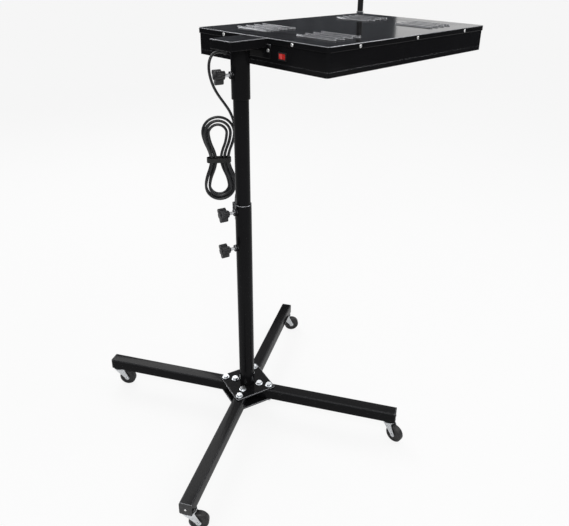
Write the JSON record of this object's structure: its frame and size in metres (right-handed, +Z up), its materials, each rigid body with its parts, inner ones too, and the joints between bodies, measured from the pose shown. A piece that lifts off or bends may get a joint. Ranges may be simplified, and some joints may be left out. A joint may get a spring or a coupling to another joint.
{
  "type": "screen printing flash dryer",
  "caption": "Free-standing infrared flash dryer for screen printing: louvred black steel heater head on a telescoping clamp post with a cross of legs on casters.",
  "frame": {"origin": "on the floor at the middle of the stand's and head's bounding box", "axes": "+Z up, +X from the post along the heater head, +Y towards the side of the head where the mains lead comes out"},
  "size_m": [1.0894, 0.7918, 1.235],
  "materials": {
    "black_enamel": "high gloss black baked enamel",
    "black_plastic": "black moulded plastic",
    "zinc_plate": "bright zinc plate",
    "chrome_plate": "polished chrome",
    "pale_screw": "pale zinc",
    "wheel_rubber": "hard black rubber",
    "reflector_sheet": "bright rolled aluminium",
    "insulation_felt": "mineral wool board",
    "quartz": "milky quartz",
    "heater_core": "oxidised heating wire",
    "ceramic_block": "white steatite",
    "guard_wire": "bright wire",
    "switch_red": "clear red plastic",
    "cord_rubber": "matt black rubber",
    "plug_moulding": "moulded dark grey",
    "pin_metal": "nickel"
  },
  "bodies": {
    "base": {"lower_tube": "black_enamel", "tube_bosses": "black_enamel", "hub_plate_top": "black_enamel", "hub_plate_bottom": "black_enamel", "leg_a": "black_enamel", "leg_b": "black_enamel", "leg_c": "black_enamel", "leg_d": "black_enamel", "leg_caps": "black_plastic", "cap_screws": "pale_screw", "hub_bolts": "zinc_plate", "hub_nuts": "zinc_plate", "caster_stems": "zinc_plate"},
    "post": {"inner_tube": "black_enamel"},
    "head": {"sleeve": "black_enamel", "sleeve_boss": "black_enamel", "mounting_arm": "black_enamel", "arm_flange": "black_enamel", "arm_screws": "pale_screw", "housing": "black_enamel", "lid": "black_enamel", "lid_screws": "pale_screw", "reflector": "reflector_sheet", "insulation": "insulation_felt", "quartz_tubes": "quartz", "heating_cores": "heater_core", "tube_holders": "ceramic_block", "guard_frame": "guard_wire", "wire_guard": "guard_wire", "switch_body": "black_plastic", "cord_gland": "cord_rubber", "handle_collar": "chrome_plate", "handle_rod": "black_plastic", "feed_cord": "cord_rubber", "hank": "cord_rubber", "cord_tie": "cord_rubber", "tail_cord": "cord_rubber", "strain_relief": "cord_rubber", "plug_body": "plug_moulding", "plug_pins": "pin_metal"},
    "head_clamp": {"head_knob": "black_plastic", "head_stud": "chrome_plate"},
    "upper_clamp": {"upper_knob": "black_plastic", "upper_stud": "chrome_plate"},
    "lower_clamp": {"lower_knob": "black_plastic", "lower_stud": "chrome_plate"},
    "rocker": {"switch_rocker": "switch_red"},
    "caster_a": {"fork_a": "zinc_plate", "axle_a": "zinc_plate"},
    "roller_a": {"wheel_a": "wheel_rubber"},
    "caster_b": {"fork_b": "zinc_plate", "axle_b": "zinc_plate"},
    "roller_b": {"wheel_b": "wheel_rubber"},
    "caster_c": {"fork_c": "zinc_plate", "axle_c": "zinc_plate"},
    "roller_c": {"wheel_c": "wheel_rubber"},
    "caster_d": {"fork_d": "zinc_plate", "axle_d": "zinc_plate"},
    "roller_d": {"wheel_d": "wheel_rubber"}
  },
  "joints": [
    {"name": "height_slide", "type": "slide", "parent": "base", "child": "post", "axis": [0, 0, 1], "range_m": [-0.2668, 0.1]},
    {"name": "head_swivel", "type": "hinge", "parent": "post", "child": "head", "pos_m": [-0.15999, 0.01121, 0.929], "axis": [0, 0, 1], "range_deg": [-180, 180]},
    {"name": "head_knob_turn", "type": "hinge", "parent": "head", "child": "head_clamp", "pos_m": [-0.20829, 0.02415, 0.986], "axis": [-0.9659, 0.2588, 0], "range_deg": [-180, 180]},
    {"name": "upper_knob_turn", "type": "hinge", "parent": "base", "child": "upper_clamp", "pos_m": [-0.20829, 0.02415, 0.641], "axis": [-0.9659, 0.2588, 0], "range_deg": [-180, 180]},
    {"name": "lower_knob_turn", "type": "hinge", "parent": "base", "child": "lower_clamp", "pos_m": [-0.20829, 0.02415, 0.54], "axis": [-0.9659, 0.2588, 0], "range_deg": [-180, 180]},
    {"name": "swivel_a", "type": "hinge", "parent": "base", "child": "caster_a", "pos_m": [-0.36849, 0.37234, 0.054], "axis": [0, 0, 1], "continuous": true},
    {"name": "spin_a", "type": "hinge", "parent": "caster_a", "child": "roller_a", "pos_m": [-0.35435, 0.35548, 0.024], "axis": [0.766, 0.6428, 0], "continuous": true},
    {"name": "swivel_b", "type": "hinge", "parent": "base", "child": "caster_b", "pos_m": [-0.52112, -0.19729, 0.054], "axis": [0, 0, 1], "continuous": true},
    {"name": "spin_b", "type": "hinge", "parent": "caster_b", "child": "roller_b", "pos_m": [-0.50557, -0.21285, 0.024], "axis": [0.7071, 0.7071, 0], "continuous": true},
    {"name": "swivel_c", "type": "hinge", "parent": "base", "child": "caster_c", "pos_m": [0.04851, -0.34993, 0.054], "axis": [0, 0, 1], "continuous": true},
    {"name": "spin_c", "type": "hinge", "parent": "caster_c", "child": "roller_c", "pos_m": [0.04851, -0.37193, 0.024], "axis": [1, 0, 0], "continuous": true},
    {"name": "swivel_d", "type": "hinge", "parent": "base", "child": "caster_d", "pos_m": [0.20114, 0.21971, 0.054], "axis": [0, 0, 1], "continuous": true},
    {"name": "spin_d", "type": "hinge", "parent": "caster_d", "child": "roller_d", "pos_m": [0.218, 0.20556, 0.024], "axis": [0.6428, 0.766, 0], "continuous": true},
    {"name": "rocker_tilt", "type": "hinge", "parent": "head", "child": "rocker", "pos_m": [-0.10549, -0.07479, 1.031], "axis": [0, 0, 1], "range_deg": [-8, 8]}
  ]
}
